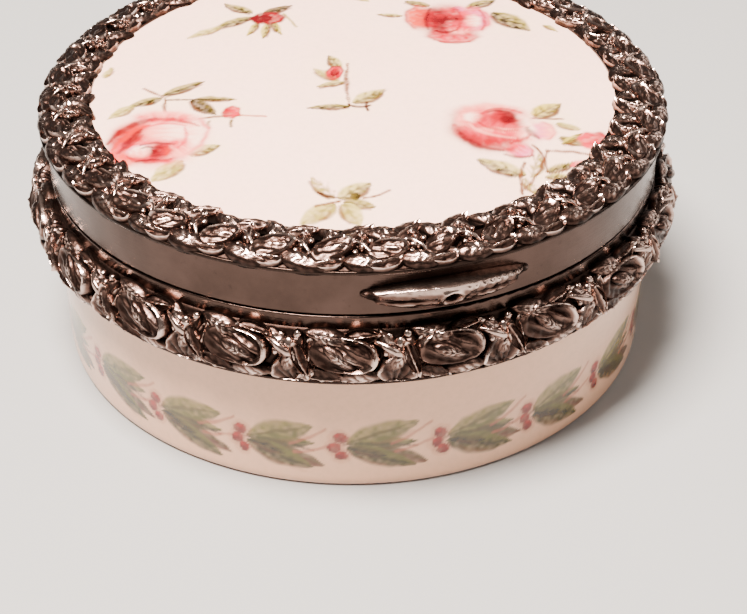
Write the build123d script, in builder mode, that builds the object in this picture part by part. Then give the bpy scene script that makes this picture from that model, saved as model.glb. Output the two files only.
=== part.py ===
from build123d import *
import os
from math import sqrt

# A round porcelain trinket box with metal mounts. The porcelain bowl carries a metal collar with a
# leaf garland, and a hinged metal lid holds a porcelain plaque inside a second garland.
#
# Millimetres, +Z up. The origin is the centre of the foot, on the surface that the box stands on.
# The front, with the thumbpiece, faces -Y, and the hinge is at +Y. Profiles are drawn on the XZ
# plane as (radius, height) and turned about Z.

# ---------------------------------------------------------------- driving dimensions

MOUNT_R = 31.5          # outside of the smooth metal walls, on lid and base
METAL = 0.7             # thickness of the metal walls

BOWL_FOOT_R = 31.1      # outside of the porcelain at the foot
BOWL_TOP_R = 31.4       # outside of the porcelain just under the collar
BOWL_REBATE_R = 30.0    # outside of the rim that the collar fits over
BOWL_INNER_R = 28.3     # inside of the porcelain at the rim
FOOT_RECESS = 0.8       # how far the underside is hollowed above the foot ring
FOOT_RING = (27.6, 30.3)  # inner and outer radius of the flat that touches the table
FLOOR_Z = 3.0           # inside floor
FLOOR_FILLET = 3.0      # rounding between the inside wall and floor
INSIDE_TAPER = 0.4      # how much smaller the inside's radius is at the floor than at the rim
SHOULDER_Z = 13.6       # where the porcelain steps in and the metal starts
RIM_Z = 19.6            # top of the porcelain rim

CEMENT = 0.35           # bedding between the porcelain and the collar
COLLAR = 0.55           # thickness of the collar's sleeve, and of the bezel
COLLAR_FLANGE_T = 0.5   # thickness of the flange at its top
EDGING_H = 0.4          # plain wire under the lower garland
EDGING_OUT = 1.0        # how far that wire stands out of the smooth walls
GARLAND_TOP_Z = 19.3    # where the lower garland meets the plain rim
GARLAND_R = 34.1        # highest point of the lower garland's relief
GARLAND_FOOT_OUT = 0.9  # how far its ground stands out of the smooth walls at its foot
GARLAND_SWELL_OUT = 1.4 # the same at its fullest
GARLAND_SWELL_UP = 2.2  # height of the fullest part above its foot
GARLAND_LEAVES = 20     # leaf clusters round it
LEAF_HALF_L = 4.2       # half the length of one cluster
LEAF_HALF_H = 1.9       # half its thickness
LEAF_LEAN = 22          # degrees that the clusters lean, with the laurel

SEAM_Z = 20.8           # middle of the seam between base and lid
SEAM_GAP = 0.2          # height of the seam
BEZEL_H = 2.6           # height of the flange that the lid closes over
BEZEL_CLEARANCE = 0.4   # radial gap between that flange and the lid
SEAM_FILLET = 0.15      # rounding of the outer edges at the seam
PIP_R = 0.5             # pip on the front of the bezel, which holds the lid shut
PIP_OUT = 0.2           # how far it stands out of the bezel
PIP_UP = 1.56           # height of its centre above the base's rim

LID_TOP_Z = 25.7        # top of the lid's side wall and of its turned-in ledge
LEDGE_INNER_R = 26.8    # inside of that ledge, under the plaque
LEDGE_T = 0.6
FLANGE_R = 32.2         # plain wire that stands out over the side wall
FLANGE_T = 0.4
PLAQUE_R = 28.2
PLAQUE_EDGE_T = 1.0
PLAQUE_RISE = 0.8       # height of the dome over the plaque's edge
BEDDING_T = 0.2
SETTING_T = 0.5         # wall of the wire setting round the plaque
SETTING_LIP_R = 26.9    # inside of the lip that holds the plaque down
SETTING_RISE = 0.3      # top of the lip above the plaque's edge
LIP_CLEARANCE = 0.1     # underside of the lip above the plaque's edge, just clear of the dome
ROUNDING = 0.4          # fillets of the thin edgings, as a share of their thickness

LID_GARLAND_INNER_R = 27.8
LID_GARLAND_CREST_Z = 27.85
LID_GARLAND_FOOT_OUT = 0.3  # how far its ground stands out of the side wall at its foot
LID_GARLAND_SHELF = (1.5, 0.15)  # halfway up: inwards of the side wall, and above the setting
LID_GARLAND_LIP_T = 0.25    # thickness where it laps over the setting
LID_GARLAND_MARGIN = 0.1    # flat left free at the flange's outer edge
LID_LEAVES = 24         # leaf clusters round the lid's garland
LID_LEAF_HALF_L = 3.2   # half the length of one cluster
LID_LEAF_HALF_H = 1.5   # half its thickness

HINGE_Y = 32.75         # hinge axis, parallel to X at the height of the seam
KNUCKLE_R = 0.9
KNUCKLE_COUNT = 5       # the base has the odd ones, and the lid the even ones
HINGE_W = 14.0
KNUCKLE_GAP = 0.15
PIN_R = 0.4
PIN_CLEARANCE = 0.05    # running clearance of the lid's knuckles on the pin
PIN_HEAD_R = 0.6        # the pin is peened over at both ends
PIN_HEAD_T = 0.3
PIN_CHAMFER = 0.12
LEAF_FACE_Y = 32.1      # outer face of the two hinge leaves
LEAF_H = 2.3            # height of the lid's leaf

THUMB_W = 16.4          # thumbpiece, across the front of the lid
THUMB_Z = (21.5, 24.5)  # its lowest and highest points, in the middle
THUMB_END_Z = (22.4, 24.1)  # the same at its blunt ends
THUMB_OUT = 1.7         # how far its middle stands out of the wall
THUMB_TIP_OUT = 0.6     # how far its ends stand out
THUMB_CORNER_R = 0.6    # rounding of its four corners, from the front
THUMB_BOSS_R = 0.8      # round boss in its middle
THUMB_BOSS_OUT = 0.2    # how far the boss stands out of it

# ---------------------------------------------------------------- worked-out dimensions

CEMENT_R = BOWL_REBATE_R + CEMENT
COLLAR_R = CEMENT_R + COLLAR
COLLAR_TOP_Z = RIM_Z + COLLAR_FLANGE_T
EDGING_TOP_Z = SHOULDER_Z + EDGING_H
BASE_TOP_Z = SEAM_Z - SEAM_GAP / 2
LID_BOTTOM_Z = SEAM_Z + SEAM_GAP / 2
LID_INNER_R = MOUNT_R - METAL
BEZEL_R = LID_INNER_R - BEZEL_CLEARANCE
BEZEL_INNER_R = BEZEL_R - COLLAR
FLANGE_TOP_Z = LID_TOP_Z + FLANGE_T
PLAQUE_Z = LID_TOP_Z + BEDDING_T
PLAQUE_EDGE_Z = PLAQUE_Z + PLAQUE_EDGE_T
SETTING_R = PLAQUE_R + SETTING_T
SETTING_TOP_Z = PLAQUE_EDGE_Z + SETTING_RISE
SETTING_LIP_Z = PLAQUE_EDGE_Z + LIP_CLEARANCE

KNUCKLE_PITCH = HINGE_W / KNUCKLE_COUNT
KNUCKLE_W = KNUCKLE_PITCH - KNUCKLE_GAP
KNUCKLE_SWEEP_R = KNUCKLE_R + KNUCKLE_GAP  # the leaves are scooped out this far round the axis
HINGE_PLANE = Plane.YZ                     # its x is the box's Y, and its y is the box's Z
BASE_LEAF_Z = (GARLAND_TOP_Z, BASE_TOP_Z)
LID_LEAF_Z = (LID_BOTTOM_Z, LID_BOTTOM_Z + LEAF_H)

# Radii of the two arcs that the plaque's dome and the thumbpiece's outline are cut from.
DOME_R = (PLAQUE_R**2 + PLAQUE_RISE**2) / (2 * PLAQUE_RISE)
HALFWAY_Z = PLAQUE_EDGE_Z + PLAQUE_RISE - DOME_R + sqrt(DOME_R**2 - (PLAQUE_R / 2) ** 2)
THUMB_HALF = THUMB_W / 2
THUMB_FRONT_R = MOUNT_R + THUMB_OUT
THUMB_TIP_Y = sqrt(MOUNT_R**2 - THUMB_HALF**2) + THUMB_TIP_OUT
THUMB_SAG = THUMB_FRONT_R - THUMB_TIP_Y
THUMB_ARC_R = (THUMB_HALF**2 + THUMB_SAG**2) / (2 * THUMB_SAG)

os.makedirs("parts", exist_ok=True)

# ---------------------------------------------------------------- base: porcelain and collar

# The bowl stands on a flat foot ring, and its wall widens a little towards the collar.
with BuildPart() as base_bowl:
    with BuildSketch(Plane.XZ) as bowl_section:
        with BuildLine():
            Polyline(
                (0, FOOT_RECESS),
                (FOOT_RING[0] - FOOT_RECESS, FOOT_RECESS),
                (FOOT_RING[0], 0),
                (BOWL_FOOT_R, 0),
                (BOWL_TOP_R, SHOULDER_Z),
                (BOWL_REBATE_R, SHOULDER_Z),
                (BOWL_REBATE_R, RIM_Z),
                (BOWL_INNER_R, RIM_Z),
                (BOWL_INNER_R - INSIDE_TAPER, FLOOR_Z),
                (0, FLOOR_Z),
                close=True,
            )
        make_face()
        foot_corner = bowl_section.vertices().sort_by_distance((BOWL_FOOT_R, 0, 0))[0]
        fillet(foot_corner, BOWL_FOOT_R - FOOT_RING[1])
        floor_corner = bowl_section.vertices().sort_by_distance((BOWL_INNER_R, FLOOR_Z, 0))[0]
        fillet(floor_corner, FLOOR_FILLET)
    revolve(axis=Axis.Z)

# Bedding that fills the gap between the porcelain rim and the collar.
with BuildPart() as collar_cement:
    with BuildSketch(Plane.XY.offset(SHOULDER_Z)):
        Circle(CEMENT_R)
        Circle(BOWL_REBATE_R, mode=Mode.SUBTRACT)
    extrude(amount=RIM_Z - SHOULDER_Z)

# The collar is a sleeve with a flange turned in over the porcelain rim.
with BuildPart() as base_collar:
    with BuildSketch(Plane.XZ):
        with BuildLine():
            Polyline(
                (CEMENT_R, SHOULDER_Z),
                (COLLAR_R, SHOULDER_Z),
                (COLLAR_R, COLLAR_TOP_Z),
                (BOWL_INNER_R, COLLAR_TOP_Z),
                (BOWL_INNER_R, RIM_Z),
                (CEMENT_R, RIM_Z),
                close=True,
            )
        make_face()
    revolve(axis=Axis.Z)

# ---------------------------------------------------------------- base: outer mounts

with BuildPart() as base_edging:
    with BuildSketch(Plane.XY.offset(SHOULDER_Z)):
        Circle(MOUNT_R + EDGING_OUT)
        Circle(COLLAR_R, mode=Mode.SUBTRACT)
    extrude(amount=EDGING_H)
    outer_edges = base_edging.edges().filter_by(GeomType.CIRCLE).sort_by(SortBy.RADIUS)[-2:]
    fillet(outer_edges, EDGING_H * ROUNDING)

# One leaf cluster of the lower garland is a long rounded boss that leans with the laurel.
with BuildPart() as leaf_boss:
    with BuildSketch(Plane.XY):
        Ellipse(LEAF_HALF_H, LEAF_HALF_L)
        with Locations((-LEAF_HALF_H, 0)):
            Rectangle(2 * LEAF_HALF_H, 3 * LEAF_HALF_L, mode=Mode.SUBTRACT)
    revolve(axis=Axis.Y)
leaning_leaf = leaf_boss.part.rotate(Axis.X, LEAF_LEAN)

# The lower garland is a swelling band with the leaf clusters standing out of it.
with BuildPart() as base_garland:
    with PolarLocations(GARLAND_R - LEAF_HALF_H, GARLAND_LEAVES):
        add(leaning_leaf.moved(Location((0, 0, (EDGING_TOP_Z + GARLAND_TOP_Z) / 2))))
    with BuildSketch(Plane.XZ):
        with BuildLine():
            Line((COLLAR_R, GARLAND_TOP_Z), (COLLAR_R, EDGING_TOP_Z))
            Line((COLLAR_R, EDGING_TOP_Z), (MOUNT_R + GARLAND_FOOT_OUT, EDGING_TOP_Z))
            ThreePointArc(
                (MOUNT_R + GARLAND_FOOT_OUT, EDGING_TOP_Z),
                (MOUNT_R + GARLAND_SWELL_OUT, EDGING_TOP_Z + GARLAND_SWELL_UP),
                (MOUNT_R, GARLAND_TOP_Z),
            )
            Line((MOUNT_R, GARLAND_TOP_Z), (COLLAR_R, GARLAND_TOP_Z))
        make_face()
    revolve(axis=Axis.Z)
    with BuildSketch(Plane.XY):
        Circle(COLLAR_R)
    extrude(amount=LID_TOP_Z, mode=Mode.SUBTRACT)

# The plain rim wraps the top of the collar and is the seat of the closed lid.
with BuildPart() as base_rim:
    with BuildSketch(Plane.XZ):
        with BuildLine():
            Polyline(
                (COLLAR_R, GARLAND_TOP_Z),
                (MOUNT_R, GARLAND_TOP_Z),
                (MOUNT_R, BASE_TOP_Z),
                (BEZEL_R, BASE_TOP_Z),
                (BEZEL_R, COLLAR_TOP_Z),
                (COLLAR_R, COLLAR_TOP_Z),
                close=True,
            )
        make_face()
    revolve(axis=Axis.Z)
    seat_edges = base_rim.edges().filter_by(GeomType.CIRCLE).group_by(Axis.Z)[-1]
    fillet(seat_edges.sort_by(SortBy.RADIUS)[-1], SEAM_FILLET)

# The bezel stands inside the rim, and a small pip at its front holds the lid shut.
with BuildPart() as base_bezel:
    with BuildSketch(Plane.XY.offset(COLLAR_TOP_Z)):
        Circle(BEZEL_R)
        Circle(BEZEL_INNER_R, mode=Mode.SUBTRACT)
    extrude(amount=BASE_TOP_Z + BEZEL_H - COLLAR_TOP_Z)
    top_edges = base_bezel.edges().filter_by(GeomType.CIRCLE).group_by(Axis.Z)[-1]
    fillet(top_edges, COLLAR * ROUNDING)
    with Locations((0, PIP_R - PIP_OUT - BEZEL_R, BASE_TOP_Z + PIP_UP)):
        Sphere(PIP_R)
    with BuildSketch(Plane.XY.offset(COLLAR_TOP_Z)):
        Circle(BEZEL_INNER_R)
    extrude(amount=BEZEL_H + METAL, mode=Mode.SUBTRACT)

# ---------------------------------------------------------------- hinge


def knuckle_places(first):
    """X of the left side of every second knuckle, starting at knuckle number first."""
    return [-HINGE_W / 2 + KNUCKLE_GAP / 2 + i * KNUCKLE_PITCH for i in range(first, KNUCKLE_COUNT, 2)]


# The base's leaf lies on the plain rim, under the axis, and has the two outer and the middle knuckle.
with BuildPart() as base_hinge_leaf:
    with BuildSketch(HINGE_PLANE.offset(-HINGE_W / 2)):
        with Locations(((MOUNT_R + LEAF_FACE_Y) / 2 - METAL, sum(BASE_LEAF_Z) / 2)):
            Rectangle(LEAF_FACE_Y - MOUNT_R + 2 * METAL, BASE_LEAF_Z[1] - BASE_LEAF_Z[0])
        with Locations((HINGE_Y, SEAM_Z)):
            Circle(KNUCKLE_SWEEP_R, mode=Mode.SUBTRACT)
    extrude(amount=HINGE_W)
    for x in knuckle_places(0):
        with BuildSketch(HINGE_PLANE.offset(x)):
            with Locations((HINGE_Y, SEAM_Z)):
                Circle(KNUCKLE_R)
            with Locations(((MOUNT_R + HINGE_Y) / 2 - METAL, BASE_TOP_Z - KNUCKLE_R / 2)):
                Rectangle(HINGE_Y - MOUNT_R + 2 * METAL, KNUCKLE_R)
        extrude(amount=KNUCKLE_W)
    with BuildSketch(Plane.XY):
        Circle(MOUNT_R)
    extrude(amount=LID_TOP_Z, mode=Mode.SUBTRACT)
    with BuildSketch(HINGE_PLANE.offset(-HINGE_W)):
        with Locations((HINGE_Y, SEAM_Z)):
            Circle(PIN_R)
    extrude(amount=2 * HINGE_W, mode=Mode.SUBTRACT)

# The lid's leaf lies on the side wall, over the axis, and has the two knuckles between.
with BuildPart() as lid_hinge_leaf:
    with BuildSketch(HINGE_PLANE.offset(-HINGE_W / 2)):
        with Locations(((MOUNT_R + LEAF_FACE_Y) / 2 - METAL, sum(LID_LEAF_Z) / 2)):
            Rectangle(LEAF_FACE_Y - MOUNT_R + 2 * METAL, LEAF_H)
        with Locations((HINGE_Y, SEAM_Z)):
            Circle(KNUCKLE_SWEEP_R, mode=Mode.SUBTRACT)
    extrude(amount=HINGE_W)
    for x in knuckle_places(1):
        with BuildSketch(HINGE_PLANE.offset(x)):
            with Locations((HINGE_Y, SEAM_Z)):
                Circle(KNUCKLE_R)
            with Locations(((MOUNT_R + HINGE_Y) / 2 - METAL, LID_BOTTOM_Z + KNUCKLE_R / 2)):
                Rectangle(HINGE_Y - MOUNT_R + 2 * METAL, KNUCKLE_R)
        extrude(amount=KNUCKLE_W)
    with BuildSketch(Plane.XY):
        Circle(MOUNT_R)
    extrude(amount=LID_TOP_Z + METAL, mode=Mode.SUBTRACT)
    with BuildSketch(HINGE_PLANE.offset(-HINGE_W)):
        with Locations((HINGE_Y, SEAM_Z)):
            Circle(PIN_R + PIN_CLEARANCE)
    extrude(amount=2 * HINGE_W, mode=Mode.SUBTRACT)

# The pin is peened over at both ends.
with BuildPart() as hinge_pin:
    with BuildSketch(HINGE_PLANE.offset(-HINGE_W / 2)):
        with Locations((HINGE_Y, SEAM_Z)):
            Circle(PIN_R)
    extrude(amount=HINGE_W)
    for head_x in (-HINGE_W / 2 - PIN_HEAD_T + KNUCKLE_GAP / 2, HINGE_W / 2 - KNUCKLE_GAP / 2):
        with BuildSketch(HINGE_PLANE.offset(head_x)):
            with Locations((HINGE_Y, SEAM_Z)):
                Circle(PIN_HEAD_R)
        extrude(amount=PIN_HEAD_T)
    for end in (Axis.X, -Axis.X):
        rim = hinge_pin.edges().filter_by(GeomType.CIRCLE).group_by(end)[-1]
        chamfer(rim, PIN_CHAMFER)

# ---------------------------------------------------------------- lid

# The side wall and the ledge that carries the plaque are one pressing.
with BuildPart() as lid_band:
    with BuildSketch(Plane.XZ):
        with BuildLine():
            Polyline(
                (LID_INNER_R, LID_BOTTOM_Z),
                (MOUNT_R, LID_BOTTOM_Z),
                (MOUNT_R, LID_TOP_Z),
                (LEDGE_INNER_R, LID_TOP_Z),
                (LEDGE_INNER_R, LID_TOP_Z - LEDGE_T),
                (LID_INNER_R, LID_TOP_Z - LEDGE_T),
                close=True,
            )
        make_face()
    revolve(axis=Axis.Z)
    lower_edges = lid_band.edges().filter_by(GeomType.CIRCLE).group_by(Axis.Z)[0]
    fillet(lower_edges, SEAM_FILLET)

# A flat ring soldered on the side wall stands a little over it.
with BuildPart() as lid_flange:
    with BuildSketch(Plane.XY.offset(LID_TOP_Z)):
        Circle(FLANGE_R)
        Circle(SETTING_R, mode=Mode.SUBTRACT)
    extrude(amount=FLANGE_T)
    overhang_edges = lid_flange.edges().filter_by(GeomType.CIRCLE).sort_by(SortBy.RADIUS)[-2:]
    fillet(overhang_edges, FLANGE_T * ROUNDING)

with BuildPart() as plaque_bedding:
    with BuildSketch(Plane.XY.offset(LID_TOP_Z)):
        Circle(PLAQUE_R)
        Circle(LEDGE_INNER_R, mode=Mode.SUBTRACT)
    extrude(amount=BEDDING_T)

# The plaque is a disc with a shallow spherical dome.
with BuildPart() as lid_plaque:
    with BuildSketch(Plane.XZ):
        with BuildLine():
            Line((0, PLAQUE_EDGE_Z + PLAQUE_RISE), (0, PLAQUE_Z))
            Line((0, PLAQUE_Z), (PLAQUE_R, PLAQUE_Z))
            Line((PLAQUE_R, PLAQUE_Z), (PLAQUE_R, PLAQUE_EDGE_Z))
            ThreePointArc(
                (PLAQUE_R, PLAQUE_EDGE_Z),
                (PLAQUE_R / 2, HALFWAY_Z),
                (0, PLAQUE_EDGE_Z + PLAQUE_RISE),
            )
        make_face()
    revolve(axis=Axis.Z)

# The setting goes round the plaque and turns in over its edge.
with BuildPart() as plaque_setting:
    with BuildSketch(Plane.XZ):
        with BuildLine():
            Polyline(
                (PLAQUE_R, LID_TOP_Z),
                (SETTING_R, LID_TOP_Z),
                (SETTING_R, SETTING_TOP_Z),
                (SETTING_LIP_R, SETTING_TOP_Z),
                (SETTING_LIP_R, SETTING_LIP_Z),
                (PLAQUE_R, PLAQUE_EDGE_Z),
                close=True,
            )
        make_face()
    revolve(axis=Axis.Z)

# The lid's garland slopes from the plaque's setting down to the flange.
with BuildPart() as lid_leaf_boss:
    with BuildSketch(Plane.XY):
        Ellipse(LID_LEAF_HALF_H, LID_LEAF_HALF_L)
        with Locations((-LID_LEAF_HALF_H, 0)):
            Rectangle(2 * LID_LEAF_HALF_H, 3 * LID_LEAF_HALF_L, mode=Mode.SUBTRACT)
    revolve(axis=Axis.Y)
turned_leaf = lid_leaf_boss.part.rotate(Axis.Z, LEAF_LEAN)

with BuildPart() as lid_garland:
    with PolarLocations((SETTING_R + MOUNT_R) / 2, LID_LEAVES):
        add(turned_leaf.moved(Location((0, 0, LID_GARLAND_CREST_Z - LID_LEAF_HALF_H))))
    with BuildSketch(Plane.XY.offset(FLANGE_TOP_Z)):
        Circle(FLANGE_R - LID_GARLAND_MARGIN)
    extrude(amount=LID_GARLAND_CREST_Z, mode=Mode.INTERSECT)
    with BuildSketch(Plane.XZ):
        with BuildLine():
            Line((SETTING_R, FLANGE_TOP_Z), (MOUNT_R + LID_GARLAND_FOOT_OUT, FLANGE_TOP_Z))
            ThreePointArc(
                (MOUNT_R + LID_GARLAND_FOOT_OUT, FLANGE_TOP_Z),
                (MOUNT_R - LID_GARLAND_SHELF[0], SETTING_TOP_Z + LID_GARLAND_SHELF[1]),
                (LID_GARLAND_INNER_R, SETTING_TOP_Z + LID_GARLAND_LIP_T),
            )
            Line(
                (LID_GARLAND_INNER_R, SETTING_TOP_Z + LID_GARLAND_LIP_T),
                (LID_GARLAND_INNER_R, SETTING_TOP_Z),
            )
            Line((LID_GARLAND_INNER_R, SETTING_TOP_Z), (SETTING_R, SETTING_TOP_Z))
            Line((SETTING_R, SETTING_TOP_Z), (SETTING_R, FLANGE_TOP_Z))
        make_face()
    revolve(axis=Axis.Z)
    with BuildSketch(Plane.XZ):
        with BuildLine():
            Polyline(
                (0, 0),
                (SETTING_R, 0),
                (SETTING_R, SETTING_TOP_Z),
                (0, SETTING_TOP_Z),
                close=True,
            )
        make_face()
    revolve(axis=Axis.Z, mode=Mode.SUBTRACT)

# The thumbpiece is a blunt-ended lens from the front, and a flatter arc than the wall from above.
with BuildPart() as thumbpiece:
    with BuildSketch(Plane.XZ) as thumb_face:
        with BuildLine():
            ThreePointArc((-THUMB_HALF, THUMB_END_Z[0]), (0, THUMB_Z[0]), (THUMB_HALF, THUMB_END_Z[0]))
            Line((THUMB_HALF, THUMB_END_Z[0]), (THUMB_HALF, THUMB_END_Z[1]))
            ThreePointArc((THUMB_HALF, THUMB_END_Z[1]), (0, THUMB_Z[1]), (-THUMB_HALF, THUMB_END_Z[1]))
            Line((-THUMB_HALF, THUMB_END_Z[1]), (-THUMB_HALF, THUMB_END_Z[0]))
        make_face()
        fillet(thumb_face.vertices(), THUMB_CORNER_R)
    extrude(amount=THUMB_FRONT_R)
    with BuildSketch(Plane.XY):
        with Locations((0, THUMB_ARC_R - THUMB_FRONT_R)):
            Circle(THUMB_ARC_R)
    extrude(amount=LID_TOP_Z, mode=Mode.INTERSECT)
    with Locations((0, THUMB_BOSS_R - THUMB_FRONT_R - THUMB_BOSS_OUT, sum(THUMB_Z) / 2)):
        Sphere(THUMB_BOSS_R)
    with BuildSketch(Plane.XY):
        Circle(MOUNT_R)
    extrude(amount=LID_TOP_Z, mode=Mode.SUBTRACT)

# ---------------------------------------------------------------- export

pieces = {
    "base_bowl": base_bowl,
    "collar_cement": collar_cement,
    "base_collar": base_collar,
    "base_edging": base_edging,
    "base_garland": base_garland,
    "base_rim": base_rim,
    "base_bezel": base_bezel,
    "base_hinge_leaf": base_hinge_leaf,
    "hinge_pin": hinge_pin,
    "lid_band": lid_band,
    "lid_flange": lid_flange,
    "plaque_bedding": plaque_bedding,
    "lid_plaque": lid_plaque,
    "plaque_setting": plaque_setting,
    "lid_garland": lid_garland,
    "lid_hinge_leaf": lid_hinge_leaf,
    "thumbpiece": thumbpiece,
}
for node, piece in pieces.items():
    piece.part.label = node
    export_step(piece.part, f"parts/{node}.step")
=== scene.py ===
import math

import bpy
import numpy as np
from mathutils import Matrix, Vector


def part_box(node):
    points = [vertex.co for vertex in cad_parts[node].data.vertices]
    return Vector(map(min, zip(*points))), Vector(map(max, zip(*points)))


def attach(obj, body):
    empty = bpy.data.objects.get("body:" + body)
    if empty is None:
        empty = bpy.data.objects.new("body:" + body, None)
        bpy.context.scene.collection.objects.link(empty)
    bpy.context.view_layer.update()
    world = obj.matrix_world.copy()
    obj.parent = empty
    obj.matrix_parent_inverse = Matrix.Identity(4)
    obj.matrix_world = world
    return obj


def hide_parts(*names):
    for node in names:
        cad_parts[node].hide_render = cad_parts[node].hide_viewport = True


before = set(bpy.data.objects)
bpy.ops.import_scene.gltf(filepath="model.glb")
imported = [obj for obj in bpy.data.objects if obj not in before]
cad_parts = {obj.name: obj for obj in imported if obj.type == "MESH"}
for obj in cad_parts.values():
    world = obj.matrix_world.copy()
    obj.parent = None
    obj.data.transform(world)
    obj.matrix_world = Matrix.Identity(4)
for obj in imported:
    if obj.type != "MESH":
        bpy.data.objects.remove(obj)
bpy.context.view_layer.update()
rng = np.random.default_rng(7)

# ---- sizes, read from the frame

MM = 0.001


def outer_radius(node):
    """Outer radius in mm of a node that is turned about Z. Its X extent is never widened by the hinge."""
    low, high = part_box(node)
    return (high[0] - low[0]) / 2 / MM


def top_z(node):
    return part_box(node)[1][2] / MM


def bottom_z(node):
    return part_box(node)[0][2] / MM


WALL_R = outer_radius("lid_band")
FLANGE_R = outer_radius("lid_flange")
EDGING_TOP = top_z("base_edging")
RIM_BOTTOM = bottom_z("base_rim")
PLAQUE_R = outer_radius("lid_plaque")
PLAQUE_TOP = top_z("lid_plaque")
PLAQUE_BOTTOM = bottom_z("lid_plaque")
SETTING_TOP = top_z("plaque_setting")
SETTING_R = outer_radius("plaque_setting")
FLANGE_TOP = top_z("lid_flange")
LID_CREST = top_z("lid_garland")
BOWL_R = outer_radius("base_bowl")
BOWL_TOP = top_z("base_bowl")
SHOULDER_Z = bottom_z("base_edging")

# The camera stands this far round to the left of the thumbpiece, and the plaque's flowers face it.
VIEW_TURN = math.radians(16.5)

# ---- mesh helpers


def linear(red, green, blue):
    """Linear colour from the 0 to 255 values that a colour chart gives."""
    value = np.array([red, green, blue]) / 255
    return np.where(value <= 0.04045, value / 12.92, ((value + 0.055) / 1.055) ** 2.4)


def smooth(edge0, edge1, value):
    """0 below edge0, 1 above edge1, and a smooth step between."""
    t = np.clip((value - edge0) / (edge1 - edge0), 0, 1)
    return t * t * (3 - 2 * t)


def add_object(name, data):
    """A new object that shows data, in the scene."""
    thing = bpy.data.objects.new(name, data)
    bpy.context.scene.collection.objects.link(thing)
    return thing


# The angles in degrees over which two faces meet in a sharp edge.
CHINA_EDGE = 40
CAST_EDGE = 62
THUMB_EDGE = 70


def make_piece(name, verts, faces, attributes, sharp):
    """A mesh object from vertices in mm. attributes maps a name to each vertex's colour or grey."""
    mesh = bpy.data.meshes.new(name)
    mesh.from_pydata((np.asarray(verts) * MM).tolist(), [], faces)
    mesh.update()
    for key, values in attributes.items():
        values = np.asarray(values, float)
        colour = np.ones((len(values), 4))
        colour[:, :3] = values if values.ndim == 2 else values[:, None]
        layer = mesh.color_attributes.new(name=key, type="FLOAT_COLOR", domain="POINT")
        layer.data.foreach_set("color", colour.ravel())
    mesh.polygons.foreach_set("use_smooth", [True] * len(mesh.polygons))
    mesh.set_sharp_from_angle(angle=math.radians(sharp))
    return add_object(name, mesh)


def lathe(section, columns):
    """Vertices of a section turned round the axis, one row for each of its (radius, z) points."""
    phi = np.linspace(0, 2 * np.pi, columns, endpoint=False)
    rows = [np.column_stack([r * np.sin(phi), -r * np.cos(phi), np.full(columns, z)]) for r, z in section]
    return np.vstack(rows)


def lathe_faces(rows, columns):
    """Quads of a grid that closes on itself both ways and faces outwards."""
    faces = []
    for j in range(rows):
        k = (j + 1) % rows
        for i in range(columns):
            n = (i + 1) % columns
            faces.append((j * columns + i, j * columns + n, k * columns + n, k * columns + i))
    return faces


def curve(start, bend, end, steps):
    """Points of the quadratic curve from start to end that leaves both towards bend."""
    t = np.linspace(0, 1, steps)[:, None]
    return start * (1 - t) ** 2 + bend * 2 * t * (1 - t) + end * t**2


def turn_by(angle):
    """The matrix that turns rows of flat points anticlockwise."""
    c, s = math.cos(angle), math.sin(angle)
    return np.array([[c, s], [-s, c]])


def round_corner(before, corner, after, radius, steps):
    """Points of a curve that rounds one corner of an outline."""
    before, corner, after = (np.array(p, float) for p in (before, corner, after))
    start = corner + (before - corner) / np.linalg.norm(before - corner) * radius
    end = corner + (after - corner) / np.linalg.norm(after - corner) * radius
    return [tuple(point) for point in curve(start, corner, end, steps)]


def bell(value, width):
    """1 where value is 0, falling to nothing a few widths away."""
    return np.exp(-((value / width) ** 2))


def ripple(value):
    """A wave between 0 and 1."""
    return 0.5 + 0.5 * np.cos(value)


# ---- china painting

WHITE = linear(255, 211, 192)
# The bowl's outer wall is a darker copy of the china's white, as painted shade; inside and under the foot
# it keeps WHITE.
SHADED_BOWL_WHITE = linear(236, 186, 153)
LEAF_LIGHT = linear(146, 130, 62)
LEAF_MID = linear(88, 72, 24)
LEAF_DARK = linear(42, 31, 6)
LEAF_PALE = linear(186, 168, 98)
YELLOW_GREEN = linear(190, 170, 70)
CREAM = linear(250, 226, 170)
BROWN = linear(98, 52, 26)
DARK_BROWN = linear(62, 28, 16)
LEAF_TIP = linear(150, 80, 44)
BLUSH = linear(244, 142, 128)
PINK = linear(202, 50, 64)
ROSE = linear(150, 2, 22)
CRIMSON = linear(92, 0, 8)
CORAL = linear(184, 28, 16)
CORAL_PINK = linear(210, 70, 50)
LILAC = linear(226, 104, 142)
BERRY = linear(148, 18, 4)
TENDRIL = linear(176, 90, 64)


TABLE_SIZE = 24  # random values along each side of a canvas's table
TABLE_TURNS = 9  # times that the table goes round a closed surface
GRAIN_PITCH = 0.8  # mm between the table's values on an open surface
GRAIN_SHIFT = 3.1
SWAY = 0.22  # how far brush lines wander, in mm
SWAY_SHIFTS = (0.0, 7.3)
LEAST_COVER, UNEVEN_COVER = 0.84, 0.32  # how unevenly the paint covers
THINNEST_HALF = 0.17  # half the width of the thinnest brush line, in mm
STROKE_STEPS = 24


def blotches(points, pitch, table):
    """Soft random values from 0 to 1 at flat points, from a square table that repeats."""
    n = len(table)
    cell = points / pitch
    low = np.floor(cell).astype(int)
    fx, fy = (smooth(0, 1, part) for part in (cell - low).T)
    x0, y0 = (low % n).T
    x1, y1 = (x0 + 1) % n, (y0 + 1) % n
    near = table[x0, y0] * (1 - fx) + table[x1, y0] * fx
    far = table[x0, y1] * (1 - fx) + table[x1, y1] * fx
    return near * (1 - fy) + far * fy


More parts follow.
